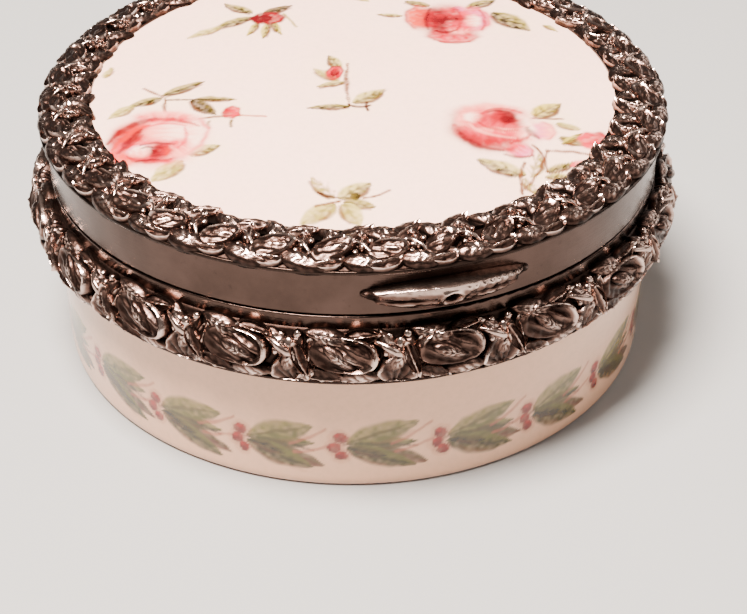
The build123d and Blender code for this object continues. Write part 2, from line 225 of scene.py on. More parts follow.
class Canvas:
    """China paint on a surface that is laid out flat, as points in millimetres."""

    def __init__(self, points, ground, period=None):
        """ground is the bare china's colour, and period the length of a surface that closes on itself."""
        table = rng.uniform(0, 1, (TABLE_SIZE, TABLE_SIZE))
        pitch = period / (TABLE_SIZE * TABLE_TURNS) if period else GRAIN_PITCH
        sway = [blotches(points + shift, pitch, table) - 0.5 for shift in SWAY_SHIFTS]
        self.grain = blotches(points + GRAIN_SHIFT, pitch / 2, table)
        self.points = points + SWAY * np.column_stack(sway)
        self.period = period
        self.colour = np.tile(ground, (len(points), 1))

    def around(self, x, y, reach):
        """The points within reach of (x, y), with their offsets from it."""
        dx = self.points[:, 0] - x
        if self.period:
            dx = (dx + self.period / 2) % self.period - self.period / 2
        dy = self.points[:, 1] - y
        index = np.flatnonzero((np.abs(dx) < reach) & (np.abs(dy) < reach))
        return index, dx[index], dy[index]

    def axes(self, x, y, reach, turn):
        """The points near (x, y), with their offsets along a direction and across it."""
        index, dx, dy = self.around(x, y, reach)
        c, s = math.cos(turn), math.sin(turn)
        return index, dx * c + dy * s, dy * c - dx * s

    def lay(self, index, cover, colour):
        """Lays colour on the points of index, covering each by cover from 0 to 1, a little unevenly."""
        cover = np.clip(cover * (LEAST_COVER + UNEVEN_COVER * self.grain[index]), 0, 1)[:, None]
        self.colour[index] = self.colour[index] * (1 - cover) + colour * cover

    def stroke(self, points, width, colour, cover=0.9):
        """A brush line between two points, curved by a third between them, and thin at both ends."""
        points = np.reshape(points, (-1, 2))
        bend = points[1] if len(points) == 3 else points.mean(axis=0)
        line = curve(points[0], bend, points[-1], STROKE_STEPS)
        middle = line.mean(axis=0)
        index, dx, dy = self.around(*middle, np.abs(line - middle).max() + width)
        spot = np.column_stack([dx, dy]) + middle
        gap = np.linalg.norm(spot[:, None, :] - line[None], axis=2)
        taper = 0.4 + 0.6 * np.sin(np.pi * gap.argmin(axis=1) / (STROKE_STEPS - 1))
        half = np.maximum(width / 2 * taper, THINNEST_HALF)
        self.lay(index, cover * (1 - smooth(half * 0.4, half * 1.6, gap.min(axis=1))), colour)

    def dab(self, x, y, length, width, angle, heart, tip, rim=None, cover=0.95, soft=0.2):
        """An oval petal or berry, shaded from heart to tip along its length. rim colours its far edge."""
        index, along, across = self.axes(x, y, max(length, width), math.radians(angle))
        along = along / (length / 2)
        across = across / (width / 2)
        rho = np.hypot(along, across)
        fan = across / (1.6 + np.abs(along))
        streak = 0.22 * np.sin(fan * 24 + x) + 0.14 * np.sin(fan * 51 + y)
        blend = smooth(-0.75, 0.85, along + streak)[:, None]
        ragged = rho + 0.035 * np.sin(np.arctan2(across, along) * 7 + x * 3)
        body = 1 - smooth(1 - soft, 1 + soft / 2, ragged)
        self.lay(index, cover * body, heart * (1 - blend) + tip * blend)
        if rim is not None:
            self.lay(index, 0.7 * bell(ragged - 0.88, 0.12) * smooth(-0.3, 0.4, along), rim)

    def leaf(self, stalk, tip, width, tones, cover=0.92, outline=0.5):
        """A pointed leaf, lit on its upper side, with a midrib, veins and an outline."""
        light, dark = tones
        x, y = stalk
        length = math.hypot(tip[0] - x, tip[1] - y)
        turn = math.atan2(tip[1] - y, tip[0] - x)
        index, along, across = self.axes(x, y, length * 1.1, turn)
        along = along / length
        across = across / (width / 2)
        if tip[0] < x:
            across = -across
        inside = (along > 0) & (along < 1)
        edge = np.sin(np.pi * np.clip(along, 0, 1) ** 0.8) ** 0.8 + 1e-6
        rel = across / edge
        vein = 0.4 * np.sin(along * 24 - np.abs(rel) * 7)
        shade = smooth(-0.75, 0.8, vein - rel + 0.9 * (self.grain[index] - 0.5))[:, None]
        body = (1 - smooth(0.7, 1.12, np.abs(rel))) * inside
        self.lay(index, cover * body, light * (1 - shade) + dark * shade)
        rib = bell(across * width, 0.32) * inside * (1 - 0.7 * along)
        self.lay(index, 0.8 * rib, dark * 0.7)
        brink = bell(np.abs(rel) - 0.93, 0.12) * inside * smooth(0.4, -0.4, rel)
        self.lay(index, outline * brink, dark * 0.6)


# Every motif of the plaque is placed from its middle in millimetres: x to the right and y away, as it
# is seen from a little to the left of the thumbpiece. A petal is (x, y, length, width, angle, heart,
# tip, rim), and some have no rim. A rose's petals are placed from the rose's own middle.

LEFT_ROSE = [
    (0.2, 0.0, 9.4, 10.6, 10, PINK, BLUSH),
    (3.0, 0.3, 4.4, 7.4, -10, BLUSH, WHITE, PINK),
    (0.6, 4.1, 2.6, 6.6, 85, PINK, BLUSH),
    (-3.0, 0.6, 5.8, 3.6, 70, ROSE, CORAL),
    (-2.9, -3.0, 5.2, 4.2, 250, PINK, CORAL_PINK),
    (0.4, -3.6, 2.2, 5.0, 265, ROSE, PINK),
    (1.9, -1.9, 4.0, 3.8, -60, PINK, BLUSH),
    (0.9, 1.3, 4.6, 3.6, 0, BLUSH, WHITE),
    (-1.3, -2.3, 2.4, 2.8, 100, BLUSH, WHITE, LILAC),
    (0.7, -2.3, 2.5, 2.9, 180, ROSE, CRIMSON),
    (1.2, -2.4, 0.9, 2.0, 0, ROSE, CORAL),
]
RIGHT_ROSE = [
    (-0.1, 0.1, 8.8, 9.6, 40, ROSE, PINK),
    (4.8, -0.4, 2.8, 3.6, 0, LILAC, BLUSH, PINK),
    (2.3, -4.2, 2.9, 2.8, -45, PINK, LILAC, ROSE),
    (-0.2, 3.3, 3.0, 6.8, 90, PINK, BLUSH),
    (-0.6, -1.6, 3.4, 6.6, -95, PINK, ROSE),
    (-2.3, 1.6, 3.0, 4.2, 160, PINK, BLUSH),
    (-2.0, 1.9, 1.9, 2.2, 0, WHITE, BLUSH),
    (2.7, 0.2, 2.8, 5.4, 15, BLUSH, WHITE),
    (0.6, 0.8, 4.2, 5.2, 250, ROSE, PINK),
    (0.2, -0.6, 1.3, 5.2, -90, BLUSH, PINK),
    (1.2, 2.2, 2.6, 3.0, 200, CRIMSON, ROSE),
    (1.5, 1.7, 1.7, 1.7, 0, CRIMSON, CRIMSON),
]
TOP_ROSE = [
    (0.3, 0.3, 8.6, 8.4, 0, ROSE, PINK),
    (0.5, -3.5, 3.8, 5.8, -90, ROSE, PINK, ROSE),
    (2.9, 0.7, 3.8, 6.2, 0, PINK, LILAC, PINK),
    (2.8, 0.3, 2.0, 3.2, 0, BLUSH, WHITE),
    (1.2, -2.2, 2.2, 2.6, -90, PINK, BLUSH),
    (-3.1, 0.8, 3.2, 6.2, 180, CORAL, CORAL_PINK, ROSE),
    (-1.3, 0.3, 2.8, 6.4, 180, CRIMSON, ROSE),
    (0.0, 0.9, 1.9, 4.8, 90, CRIMSON, ROSE),
    (1.3, 3.2, 1.8, 1.6, 20, ROSE, LILAC),
]
ROSES = [((-19.3, -10.4), LEFT_ROSE), ((14.1, -8.6), RIGHT_ROSE), ((10.2, 14.6), TOP_ROSE)]

# A line is (x and y of its start, bend and end, width, colour). A straight one has no bend.
ROSE_LINES = [
    (-24.0, -11.2, -23.0, -7.6, -19.6, -6.5, 0.9, CRIMSON),
    (-23.4, -12.2, -22.2, -9.0, -20.2, -7.8, 0.8, CORAL),
    (-22.7, -12.8, -21.6, -10.2, -20.8, -8.6, 0.9, CRIMSON),
    (-22.0, -12.0, -21.0, -10.6, -20.7, -9.6, 0.4, ROSE),
    (-20.0, -6.9, -18.0, -6.2, -15.2, -8.3, 0.7, ROSE),
    (-20.6, -8.4, -18.8, -6.9, -16.6, -8.2, 0.4, PINK),
    (-16.6, -8.6, -15.8, -10.4, -16.9, -12.2, 0.5, PINK),
    (-21.8, -13.6, -20.8, -15.4, -17.5, -14.2, 0.7, ROSE),
    (-20.8, -14.6, -19.8, -14.2, -18.6, -14.4, 0.5, CRIMSON),
    (-20.6, -11.6, -19.6, -11.0, -17.4, -11.5, 0.45, CRIMSON),
    (-20.4, -12.2, -19.9, -11.8, -19.5, -12.1, 0.5, LEAF_DARK),
    (10.2, -8.3, 10.9, -12.2, 15.6, -12.6, 1.7, ROSE),
    (10.5, -9.4, 11.6, -12.6, 14.8, -12.8, 0.9, CRIMSON),
    (11.6, -8.0, 12.8, -10.2, 16.0, -10.4, 0.5, BLUSH),
    (12.6, -7.6, 13.4, -9.4, 16.4, -9.0, 0.5, ROSE),
    (12.9, -6.0, 14.4, -3.9, 17.0, -5.6, 0.45, ROSE),
    (13.6, -5.6, 14.6, -5.0, 15.6, -5.6, 0.5, CRIMSON),
    (17.4, -8.4, 17.6, -9.6, 18.4, -10.4, 0.8, CRIMSON),
    (15.6, -11.6, 16.8, -10.8, 17.6, -9.8, 0.5, ROSE),
    (14.9, -13.6, 16.0, -14.5, 17.5, -13.7, 0.55, CRIMSON),
    (8.6, 9.9, 10.5, 8.9, 12.4, 9.7, 0.6, ROSE),
    (9.0, 12.2, 9.8, 11.4, 11.2, 12.4, 0.6, CRIMSON),
    (11.2, 12.4, 12.0, 14.4, 11.4, 17.6, 0.5, ROSE),
    (8.0, 12.4, 7.6, 15.0, 8.4, 17.8, 0.5, CRIMSON),
    (13.8, 12.6, 14.8, 15.0, 13.8, 17.6, 0.5, ROSE),
]
# A wash is (x, y, length, width), a thin cream ground under a group of leaves.
WASHES = [
    (-19.0, -3.0, 10.0, 5.0), (-12.6, -5.4, 6.4, 5.0), (-14.2, -12.8, 5.4, 4.6), (-17.6, -16.8, 5.0, 4.6),
    (-2.2, 2.6, 5.4, 8.0), (-0.4, -4.4, 9.0, 4.4), (-0.6, -22.0, 9.0, 8.6), (18.6, -17.0, 9.0, 9.0),
    (20.4, -7.0, 6.4, 7.0), (17.2, 15.2, 7.0, 7.0), (-11.6, 14.4, 11.0, 8.0),
]
STEMS = [
    (-21.4, -0.4, -20.6, -1.0, -19.3, -2.2, 0.4, BROWN),
    (-19.1, -2.6, -19.0, -4.2, -18.7, -5.6, 0.4, BROWN),
    (-18.9, -2.9, -16.0, -2.9, -12.4, -3.3, 0.4, LEAF_DARK),
    (-15.3, -6.8, -13.4, -6.4, -11.3, -6.5, 0.5, BROWN),
    (-11.6, -6.3, -8.6, -6.7, 0.3, TENDRIL),
    (-14.3, -7.4, -14.2, -8.7, 0.35, LEAF_MID),
    (-12.1, -7.3, -11.9, -8.5, 0.35, LEAF_MID),
    (-0.5, 4.2, -0.9, 0.4, -0.3, -4.3, 0.55, BROWN),
    (-0.4, -4.4, 0.6, -5.2, 1.8, -4.6, 0.5, DARK_BROWN),
    (1.4, -4.0, 1.6, -5.6, 0.4, DARK_BROWN),
    (-3.1, -20.5, -2.2, -21.2, -1.2, -21.4, 0.6, DARK_BROWN),
    (-3.2, -22.8, -2.2, -22.3, -1.0, -22.0, 0.4, BROWN),
    (1.3, -21.5, 2.6, -21.2, 3.7, -20.2, 0.3, BROWN),
    (18.0, -6.6, 21.1, -6.6, 0.4, BROWN),
    (16.7, -15.0, 16.0, -17.6, 16.2, -20.4, 0.35, BROWN),
    (19.1, -12.6, 18.4, -16.4, 16.3, -19.9, 0.35, BROWN),
    (17.8, -11.8, 18.9, -13.6, 18.8, -16.4, 0.35, BROWN),
    (19.0, -12.8, 21.2, -12.4, 23.6, -13.2, 0.5, BROWN),
    (-7.8, 16.4, -6.9, 15.0, -6.3, 13.0, 0.35, LEAF_LIGHT),
]
# A leaf's tones are its light side's and its dark side's.
OLIVE = (LEAF_LIGHT, LEAF_DARK)
SAGE = (LEAF_LIGHT, LEAF_MID)
PALE = (LEAF_PALE, LEAF_LIGHT)
FERN = (LEAF_PALE, LEAF_MID)
PALE_DARK = (LEAF_PALE, LEAF_DARK)
DEEP = (LEAF_MID, LEAF_DARK)
FAINT = (WHITE, LEAF_LIGHT)
YELLOW = (YELLOW_GREEN, LEAF_MID)
# A leaf is (x and y of its stalk, x and y of its tip, width, tones).
LEAVES = [
    (-19.3, -2.0, -15.2, 0.9, 1.7, OLIVE),
    (-19.4, -2.4, -22.6, -4.0, 1.7, OLIVE),
    (-22.0, -3.8, -24.6, -6.4, 1.7, PALE),
    (-16.3, -3.0, -13.7, -6.2, 2.0, DEEP),
    (-15.9, -2.8, -11.7, -3.2, 1.3, SAGE),
    (-15.9, -13.6, -12.7, -11.9, 2.1, FERN),
    (-16.3, -14.6, -19.0, -18.3, 2.6, PALE),
    (-25.9, 2.3, -25.3, 4.6, 1.1, PALE),
    (-1.5, 0.5, -4.1, 3.3, 1.7, PALE),
    (-1.4, 3.0, -2.6, 6.2, 1.6, FERN),
    (-0.8, 0.3, -3.8, -0.8, 1.3, FERN),
    (-0.1, -4.8, -4.7, -5.1, 1.3, OLIVE),
    (0.1, -4.2, 3.5, -1.2, 2.3, FERN),
    (-1.4, -21.5, -3.8, -17.7, 2.2, FAINT),
    (-1.1, -21.7, 1.9, -18.8, 2.6, FERN),
    (-0.6, -22.1, 2.4, -22.9, 1.8, SAGE),
    (-0.6, -22.3, 0.9, -26.0, 2.4, PALE),
    (-1.5, -22.4, -4.7, -25.8, 2.6, PALE),
    (18.1, -6.3, 21.1, -3.4, 2.7, YELLOW),
    (20.3, -7.4, 22.8, -8.6, 1.3, PALE),
    (16.7, -17.3, 12.0, -14.5, 2.5, PALE_DARK),
    (17.2, -17.6, 18.2, -13.2, 1.9, FAINT),
    (16.5, -17.8, 18.3, -20.8, 1.9, FAINT),
    (18.7, -16.6, 21.8, -14.6, 1.5, OLIVE),
    (18.6, -17.4, 21.2, -17.2, 1.3, FERN),
    (20.4, -10.1, 23.4, -11.6, 1.7, SAGE),
    (20.6, -11.4, 22.8, -9.2, 1.1, YELLOW),
    (15.3, 17.2, 19.1, 12.6, 3.4, OLIVE),
    (5.4, 15.7, 2.4, 16.1, 1.1, FERN),
    (8.4, 18.4, 5.6, 19.7, 1.5, SAGE),
    (12.4, 18.0, 15.8, 20.6, 2.0, OLIVE),
    (20.7, 14.4, 22.2, 12.7, 0.9, PALE),
    (-11.0, 15.8, -15.4, 12.8, 1.8, OLIVE),
    (-14.4, 13.4, -18.0, 10.6, 1.5, PALE),
    (-10.4, 14.4, -11.4, 10.8, 1.1, YELLOW),
    (-9.4, 14.2, -9.7, 10.2, 1.1, YELLOW),
    (-8.8, 14.4, -7.8, 11.0, 1.1, YELLOW),
    (-10.0, 16.4, -6.8, 18.6, 1.7, DEEP),
    (-11.2, 16.6, -14.6, 19.4, 1.8, OLIVE),
    (-0.6, 22.4, 2.6, 24.6, 2.2, FERN),
    (-0.8, 22.2, -3.9, 24.4, 2.2, SAGE),
    (-0.6, 22.0, 1.6, 19.4, 2.0, PALE),
]
BUDS = [
    (-12.2, -5.7, 2.0, 2.7, 0, ROSE, PINK, ROSE),
    (-1.9, 2.2, 3.2, 1.9, 80, ROSE, PINK, CRIMSON),
    (-1.9, 2.3, 1.9, 1.0, 80, CRIMSON, ROSE),
    (0.5, -21.2, 1.0, 1.3, 0, LEAF_MID, LEAF_DARK),
    (24.0, -10.6, 3.4, 3.8, 0, PINK, ROSE, ROSE),
    (22.1, -14.9, 2.2, 1.3, 35, PINK, BLUSH),
    (-9.5, 15.3, 4.0, 3.2, 0, CRIMSON, ROSE, CRIMSON),
    (-9.9, 15.2, 2.0, 1.8, 0, CRIMSON, CRIMSON),
]


def accent(stalk, tip, width):
    """A short brown touch on one side of a leaf, as (start, bend, end)."""
    along = np.array(tip) - stalk
    side = np.array([-along[1], along[0]]) / np.linalg.norm(along) * width / 2
    if side[1] > 0:
        side = -side
    start, end = rng.uniform(0.0, 0.35), rng.uniform(0.5, 0.9)
    bend = stalk + along * 0.5 + side
    return [stalk + along * start + side * 0.5, bend, stalk + along * end + side * 0.6]


def paint_plaque(points):
    """The plaque's roses, buds and sprigs. points are in the motifs' own axes."""
    canvas = Canvas(points, WHITE)
    for x, y, length, width in WASHES:
        canvas.dab(x, y, length, width, 0, CREAM, CREAM, cover=0.3, soft=0.9)
    for x0, y0, x1, y1, width, tones in LEAVES:
        stalk, tip = (x0, y0), (x1, y1)
        canvas.leaf(stalk, tip, width, tones)
        canvas.stroke(accent(stalk, tip, width), 0.45, BROWN, cover=0.6)
    for *line, width, colour in STEMS:
        canvas.stroke(line, width, colour)
    for (x, y), petals in ROSES:
        for dx, dy, *petal in petals:
            canvas.dab(x + dx, y + dy, *petal, soft=0.42)
    for *line, width, colour in ROSE_LINES:
        canvas.stroke(line, width, colour, cover=0.72)
    for bud in BUDS:
        canvas.dab(*bud)
    return canvas.colour


BOWL_REPEATS = 20
BOWL_DRAWN_PITCH = 9.8  # mm between the nodes in the tables below, which are stretched to fit
BOWL_LEAF = linear(120, 114, 40)
BOWL_LEAF_DARK = linear(62, 58, 14)
GARLAND_MIDDLE = 5.0  # height of the painted garland's middle line, in mm
# The bowl's leaves, stems and berries are placed from their repeat's node on the middle line.
GARLAND_LEAVES = [
    (1.2, 0.2, 7.4, 0.3, 1.8, (BOWL_LEAF, BOWL_LEAF_DARK)),
    (0.3, 0.4, 7.4, 2.6, 3.1, (LEAF_LIGHT * 0.85, BOWL_LEAF * 0.6)),
    (2.8, -0.4, 8.4, -2.2, 1.9, (LEAF_MID * 0.8, LEAF_TIP * 0.4)),
    (0.3, -0.2, 7.3, -2.8, 2.6, (BOWL_LEAF * 0.7, BOWL_LEAF_DARK)),
    (0.6, -0.1, 4.4, -1.3, 1.2, DEEP),
]
GARLAND_STEMS = [
    (0.0, 0.2, 3.6, 0.5, 7.2, -0.4, 0.5, LEAF_DARK),
    (1.6, 0.8, 3.6, 1.7, 5.6, 2.0, 0.4, LEAF_MID),
    (1.6, -0.9, 4.0, -1.9, 6.2, -2.3, 0.45, LEAF_DARK),
    (4.8, 0.2, 6.6, 0.8, 8.6, 2.4, 0.4, TENDRIL),
    (5.2, -0.8, 7.0, -0.6, 8.8, 0.2, 0.4, TENDRIL),
]
# A berry is (x, y, size).
GARLAND_BERRIES = [(-0.35, 1.0, 1.45), (-0.8, -0.2, 1.35), (-0.15, -1.2, 1.3)]


def paint_bowl(points, pitch):
    """A garland of leaves and berries round the bowl. points are (arc length, z)."""
    # The wall's ground is the darker white: painted shade.
    canvas = Canvas(points, SHADED_BOWL_WHITE, pitch * BOWL_REPEATS)
    for i in range(BOWL_REPEATS):
        x = i * pitch + rng.uniform(-0.3, 0.3)
        y = GARLAND_MIDDLE + rng.uniform(-0.25, 0.25)
        swell = pitch / BOWL_DRAWN_PITCH * rng.uniform(0.93, 1.06)
        for x0, y0, x1, y1, width, tones in GARLAND_LEAVES:
            droop = rng.uniform(-0.35, 0.35)
            stalk = (x + x0 * swell, y + y0)
            tip = (x + x1 * swell, y + y1 + droop)
            canvas.leaf(stalk, tip, width * rng.uniform(0.9, 1.1), tones, cover=0.9, outline=0.25)
            canvas.stroke(accent(stalk, tip, width), 0.5, LEAF_TIP, cover=0.2)
        for *line, width, colour in GARLAND_STEMS:
            canvas.stroke(np.reshape(line, (-1, 2)) * (swell, 1) + (x, y), width, colour, cover=0.6)
        for dx, dy, size in GARLAND_BERRIES:
            canvas.dab(x + dx, y + dy, size * 1.6, size * 1.6, 0, TENDRIL, TENDRIL, cover=0.25)
        for dx, dy, size in GARLAND_BERRIES:
            canvas.dab(x + dx + rng.uniform(-0.2, 0.2), y + dy, size, size, 250, BERRY, BERRY * 0.5)
            canvas.dab(x + dx - 0.2, y + dy + 0.3, size * 0.35, size * 0.35, 0, CORAL, CORAL, cover=0.6)
    return canvas.colour


# ---- cast relief

HEM_SOFTNESS = 0.18  # mm over which shapes are squeezed at the lower edge that they may not pass
HEM_FADE = 1.2  # mm over which they thin out towards it
CAP_ROOM = 0.05  # mm kept free under the height that they may not pass
UNEVEN = 0.06  # mm by which the cast surface waves
GROUND_COLUMNS = 360
# Polish value of the bare band between the shapes: low, for patina and painted shade in the recess.
GROUND_POLISH_AND_SHADE = 0.12
CORD_POLISH = 0.85
CORD_SIDES = 8
CORD_STEPS = 14


class Relief:
    """Cast relief on a turned band. Shapes are laid out flat as (along, across, height) in millimetres,
    and place() bends them round the band. along runs to the right at the front of the box."""

    def __init__(self, section, ref_radius):
        """section is the band's surface, as (radius, z) points from across = 0 upwards."""
        self.curve = np.array(section, float)
        step = np.linalg.norm(np.diff(self.curve, axis=0), axis=1)
        self.across = np.concatenate([[0], np.cumsum(step)])
        self.width = self.across[-1]
        tangent = np.gradient(self.curve, axis=0)
        self.tangent = tangent / np.linalg.norm(tangent, axis=1)[:, None]
        self.normal = np.stack([self.tangent[:, 1], -self.tangent[:, 0]], axis=1)
        self.ref_radius = ref_radius
        self.verts, self.faces, self.polish_and_shading = [], [], []
        self.count = 0

    def add(self, flat, faces, polish_and_shading):
        self.verts.append(flat)
        self.polish_and_shading.append(polish_and_shading)
        self.faces.extend([tuple(i + self.count for i in face) for face in faces])
        self.count += len(flat)

    def stamp(self, outline, form, u, v, turn, size, spokes, rings, root=0.5, lift=0.0):
        """A closed shape with its middle at (u, v), from root below the band's surface. outline(angle)
        gives its edge. form gives its height and polish value from (rho, angle, x, y), where rho runs
        from 0 in the middle to 1 at the edge. The polish value holds rubbed wear together with painted
        highlight on raised parts and painted shade low down."""
        angle = np.linspace(0, 2 * np.pi, spokes, endpoint=False)
        edge_x, edge_y = outline(angle)
        rho = np.linspace(0, 1, rings + 1)[1:, None]
        x = rho * edge_x
        y = rho * edge_y
        height, polish_and_shading = form(np.broadcast_to(rho, x.shape), np.broadcast_to(angle, x.shape), x, y)
        middle = np.zeros((1, 1))
        top_height, top_polish_and_shading = form(middle, middle, middle, middle)
        ring_verts = np.stack([x.ravel(), y.ravel(), height.ravel()], axis=1)
        skirt = np.stack([edge_x, edge_y, np.full(spokes, -root)], axis=1)
        flat = np.vstack([[[0, 0, top_height[0, 0]]], ring_verts, skirt, [[0, 0, -root]]])
        flat[:, :2] *= size
        flat[:, 2] += lift
        flat[:, :2] = flat[:, :2] @ turn_by(math.radians(turn))
        flat[:, 0] += u
        flat[:, 1] += v
        # The skirt and the foot get a polish value of 0: black painted shade where each shape meets the
        # band.
        shine_and_shade = np.concatenate([top_polish_and_shading.ravel(), polish_and_shading.ravel(), np.zeros(spokes + 1)])
        faces = []
        rim = 1 + rings * spokes
        last = rim + spokes
        for i in range(spokes):
            n = (i + 1) % spokes
            faces.append((0, 1 + i, 1 + n))
            for low in range(1, rim, spokes):
                faces.append((low + i, low + spokes + i, low + spokes + n, low + n))
            faces.append((rim + i, last, rim + n))
        self.add(flat, faces, shine_and_shade)

    def sow(self, outline, form, u, v, turn, loose, spokes, rings, root=0.5, lift=0.0):
        """A stamp that strays at random. loose is how far: along, across, in degrees and in size."""
        slip, rise, swing, spread = (jitter(amount) for amount in loose)
        self.stamp(outline, form, u + slip, v + rise, turn + swing, 1 + spread, spokes, rings, root, lift)

    def cord(self, start, bend, end, radius, height):
        """A round cord on the curve through three flat points, with closed tapering ends."""
        line = curve(np.array(start), np.array(bend), np.array(end), CORD_STEPS)
        along = np.gradient(line, axis=0)
        along /= np.linalg.norm(along, axis=1)[:, None]
        side = np.stack([-along[:, 1], along[:, 0]], axis=1)
        thick = radius * np.sqrt(np.sin(np.pi * np.linspace(0.05, 0.95, CORD_STEPS)))
        sides = CORD_SIDES
        angle = np.linspace(0, 2 * np.pi, sides, endpoint=False)
        rings = []
        for k in range(CORD_STEPS):
            ring_xy = line[k] + side[k] * (np.cos(angle) * thick[k])[:, None]
            ring_h = height * math.sin(math.pi * k / (CORD_STEPS - 1)) + np.sin(angle) * thick[k] + 0.1
            rings.append(np.column_stack([ring_xy, ring_h]))
        last = (CORD_STEPS - 1) * sides
        faces = []
        for low in range(0, last, sides):
            high = low + sides
            for i in range(sides):
                n = (i + 1) % sides
                faces.append((low + i, high + i, high + n, low + n))
        faces.append(tuple(range(sides)))
        faces.append(tuple(range(last, last + sides))[::-1])
        self.add(np.vstack(rings), faces, np.full(last + sides, CORD_POLISH))

    def place(self, flat, cap=None, hem=None):
        """Flat points bent round the band. They may reach no higher than z = cap, and no lower than
        across = hem."""
        v = flat[:, 1]
        if hem:
            v = hem + HEM_SOFTNESS * np.logaddexp(0, (v - hem) / HEM_SOFTNESS)
        beyond = v - np.clip(v, 0, self.width)
        radius, z, tr, tz, nr, nz = (
            np.interp(v, self.across, row)
            for row in (*self.curve.T, *self.tangent.T, *self.normal.T)
        )
        uneven = UNEVEN * np.sin(flat[:, 0] * 4.1 + v * 2.3) * np.sin(v * 5.3 - flat[:, 0] * 1.7)
        height = flat[:, 2] + uneven
        if hem:
            height = height * (0.7 + 0.3 * smooth(hem, hem + HEM_FADE, v))
        radius = radius + beyond * tr + nr * height
        z = z + beyond * tz + nz * height
        if cap:
            z = np.minimum(z, cap - CAP_ROOM * (1 - np.exp(-np.maximum(cap - z, 0))))
        phi = flat[:, 0] / self.ref_radius
        return np.column_stack([radius * np.sin(phi), -radius * np.cos(phi), z])

    def ground(self, reach, back):
        """The turned band under the shapes, as far up as reach. back closes its section."""
        section = np.vstack([self.curve[self.across <= reach], np.array(back, float)])
        polish_and_shading = np.full(len(section) * GROUND_COLUMNS, GROUND_POLISH_AND_SHADE)
        return lathe(section, GROUND_COLUMNS), lathe_faces(len(section), GROUND_COLUMNS), polish_and_shading

    def piece(self, name, reach, back, cap=None, hem=None):
        ground_verts, ground_faces, ground_polish_and_shading = self.ground(reach, back)
        shift = len(ground_verts)
        verts = np.vstack([ground_verts, self.place(np.vstack(self.verts), cap, hem)])
        faces = ground_faces + [tuple(i + shift for i in face) for face in self.faces]
        polish_and_shading = np.concatenate([ground_polish_and_shading] + self.polish_and_shading)
        return make_piece(name, verts, faces, {"polish_and_shading": polish_and_shading}, CAST_EDGE)


def oval(length, width, square=1.0):
    """An oval edge. square under 1 fills its corners out."""

    def edge(angle):
        c, s = np.cos(angle), np.sin(angle)
        return length / 2 * np.sign(c) * np.abs(c) ** square, width / 2 * np.sign(s) * np.abs(s) ** square

    return edge


def blade(length, width, belly=0.25, lobes=0.0):
    """A leaf's edge, pointed at its tip and blunter at its stalk. lobes notches it, as on acanthus."""

    def edge(angle):
        c, s = np.cos(angle), np.sin(angle)
        notch = 1 - lobes * ripple(c * 11)
        return length / 2 * c, width / 2 * s * np.abs(s) ** 0.4 * (1 - belly * c) * notch

    return edge


def fall_off(rho):
    """Rounds a shape's brink down towards the ground."""
    return 1 - 0.55 * smooth(0.88, 1.0, rho)


def lobe(height, lean):
    """A cupped leaf end: a rolled rim round a swelling, with flutes that lean across it."""

    def form(rho, angle, x, y):
        rim = bell(rho - 0.84, 0.10) * (0.62 + 0.45 * np.sin(angle + lean))
        swell = bell(x - 0.5 * lean, 1.9) * bell(y + 0.15, 0.75)
        slant = 1 if lean > 0 else -1
        flute = np.cos((x * 0.9 + y * 2.1 * slant) * 3.6) * smooth(0.85, 0.55, rho)
        h = height * (0.36 + 0.58 * rim + 0.34 * swell + 0.09 * flute) * fall_off(rho)
        # The polish value is painted highlight on the rim, strongest where the rim stands tallest, and on
        # the swelling, and painted shade between them.
        return h, 0.14 + 0.85 * rim + 0.5 * swell + 0.16 * flute

    return form


def laurel(height, pitch):
    """A laurel leaf: a raised midrib, side veins every pitch and a thin raised edge."""

    def form(rho, angle, x, y):
        rib = bell(y, 0.14) * (1 - 0.5 * rho)
        vein = ripple((np.abs(y) * 1.2 - x) * 2 * np.pi / pitch)
        rim = bell(rho - 0.86, 0.09)
        body = 0.40 + 0.4 * rib + 0.34 * rim + 0.14 * vein * (1 - rho) + 0.18 * (1 - rho)
        # The polish value is raised on the midrib, the edge and the veins, as rubbed wear and painted
        # highlight, and low between them, as painted shade.
        return height * body * fall_off(rho), 0.10 + 0.7 * rib + 0.8 * rim + 0.18 * vein

    return form


def mound(height, pitch):
    """A plump leaf with no rim: a smooth back that catches the light, cut by slanting grooves."""

    def form(rho, angle, x, y):
        back = np.sqrt(np.clip(1 - (rho * 0.96) ** 2, 0, 1))
        groove = smooth(0.55, 1.0, ripple((x + np.abs(y) * 0.9) * 2 * np.pi / pitch))
        h = height * (0.2 + 0.85 * back - 0.16 * groove * back)
        # The polish value is painted highlight on the back and painted shade in the grooves.
        return h, 0.2 + 0.75 * back**2 - 0.45 * groove

    return form


def dart(height):
    """A small upright leaf with flutes that fan out from its foot."""

    def form(rho, angle, x, y):
        flute = ripple(np.arctan2(y, x + 2.3) * 18)
        rim = bell(rho - 0.85, 0.1)
        h = height * (0.42 + 0.48 * rim + 0.24 * flute * (1 - rim)) * fall_off(rho)
        # The polish value is rubbed wear and painted highlight on the rim and the flutes, and painted
        # shade between them.
        return h, 0.08 + 0.85 * rim + 0.35 * flute

    return form


def bead(relief, u, v, radius, lift):
    def form(rho, angle, x, y):
        # Brightest polish on the bead's top: rubbed wear and a painted highlight.
        return radius * (0.3 + 0.95 * np.sqrt(np.clip(1 - rho**2, 0, 1))), 0.4 + 0.6 * (1 - rho**2)

    relief.stamp(oval(2 * radius, 2 * radius), form, u, v, 0.0, 1.0, 14, 5, root=0.3, lift=lift)


